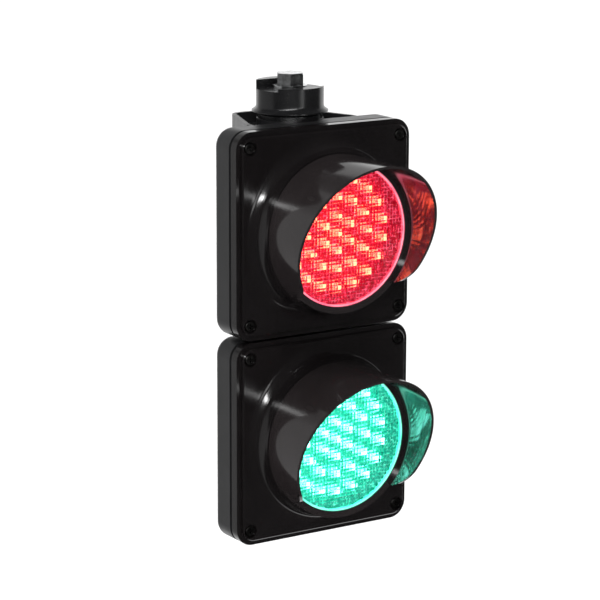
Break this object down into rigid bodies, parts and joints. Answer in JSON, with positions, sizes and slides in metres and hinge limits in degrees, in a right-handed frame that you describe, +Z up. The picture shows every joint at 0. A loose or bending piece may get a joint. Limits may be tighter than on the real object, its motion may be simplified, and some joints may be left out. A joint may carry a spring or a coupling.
{
  "type": "traffic signal head",
  "caption": "Two-section LED traffic signal head, red over green, with round visors and a slotted clamp hub on top that the whole head hangs from and turns on.",
  "frame": {"origin": "centre of the slot floor of the top hub, on the vertical axis shared by hub, coupling and bottom stud", "axes": "+Z up along the hub axis, -Y out of the lenses (the front), +X to the right seen from the front"},
  "size_m": [0.142, 0.1605, 0.3296],
  "materials": {
    "housing_black": "moulded black plastic with a fine matt texture",
    "cover_gloss": "smooth glossy near-black moulded plastic",
    "visor_black": "smooth dark warm-grey moulded plastic, satin outside and glossy inside",
    "hub_black": "satin black moulded plastic",
    "gasket_rubber": "matt black rubber",
    "zinc_screw": "darkened zinc-plated steel",
    "zinc_steel": "bright zinc-plated steel",
    "lens_red": "clear lit plastic with a fine square prism grid, shown lit red",
    "lens_green": "clear lit plastic with a fine square prism grid, shown lit green",
    "led_red": "clear LED bodies, lit red with yellow-white cores",
    "led_green": "clear LED bodies, lit green with white cores",
    "cup_grey": "moulded grey plastic",
    "board_black": "circuit board with dark solder mask",
    "board_green": "circuit board with green solder mask",
    "driver_parts": "moulded electronic components",
    "terminal_green": "moulded green plastic"
  },
  "bodies": {
    "hub": {"hub_body": "hub_black", "hub_bolt": "zinc_steel", "hub_bolt_washer": "zinc_steel", "hub_clamp_washer": "zinc_steel", "hub_nut": "zinc_steel"},
    "upper_section": {"upper_rear_housing": "housing_black", "upper_gasket": "gasket_rubber", "upper_front_cover": "cover_gloss", "upper_cover_screws": "zinc_screw", "upper_visor": "visor_black", "upper_red_lens": "lens_red", "upper_lens_seal": "gasket_rubber", "upper_light_cup": "cup_grey", "upper_cup_screws": "zinc_screw", "upper_led_board": "board_black", "upper_leds": "led_red", "upper_driver_board": "board_green", "upper_driver_parts": "driver_parts", "upper_driver_screws": "zinc_screw", "upper_terminal_block": "terminal_green", "hub_base_ring": "hub_black", "coupling_nipple": "hub_black", "coupling_upper_washer": "gasket_rubber", "coupling_upper_locknut": "housing_black", "coupling_lower_washer": "gasket_rubber", "coupling_lower_locknut": "housing_black"},
    "lower_section": {"lower_rear_housing": "housing_black", "lower_gasket": "gasket_rubber", "lower_front_cover": "cover_gloss", "lower_cover_screws": "zinc_screw", "lower_visor": "visor_black", "lower_green_lens": "lens_green", "lower_lens_seal": "gasket_rubber", "lower_light_cup": "cup_grey", "lower_cup_screws": "zinc_screw", "lower_led_board": "board_black", "lower_leds": "led_green", "lower_driver_board": "board_green", "lower_driver_parts": "driver_parts", "lower_driver_screws": "zinc_screw", "lower_terminal_block": "terminal_green", "bottom_plug": "hub_black", "bottom_stud": "zinc_steel"}
  },
  "joints": [
    {"name": "hub_swivel", "type": "hinge", "parent": "hub", "child": "upper_section", "pos_m": [0, 0, 0], "axis": [0, 0, 1], "continuous": true},
    {"name": "section_swivel", "type": "hinge", "parent": "upper_section", "child": "lower_section", "pos_m": [0, 0, -0.1663], "axis": [0, 0, 1], "range_deg": [-90, 90]}
  ]
}
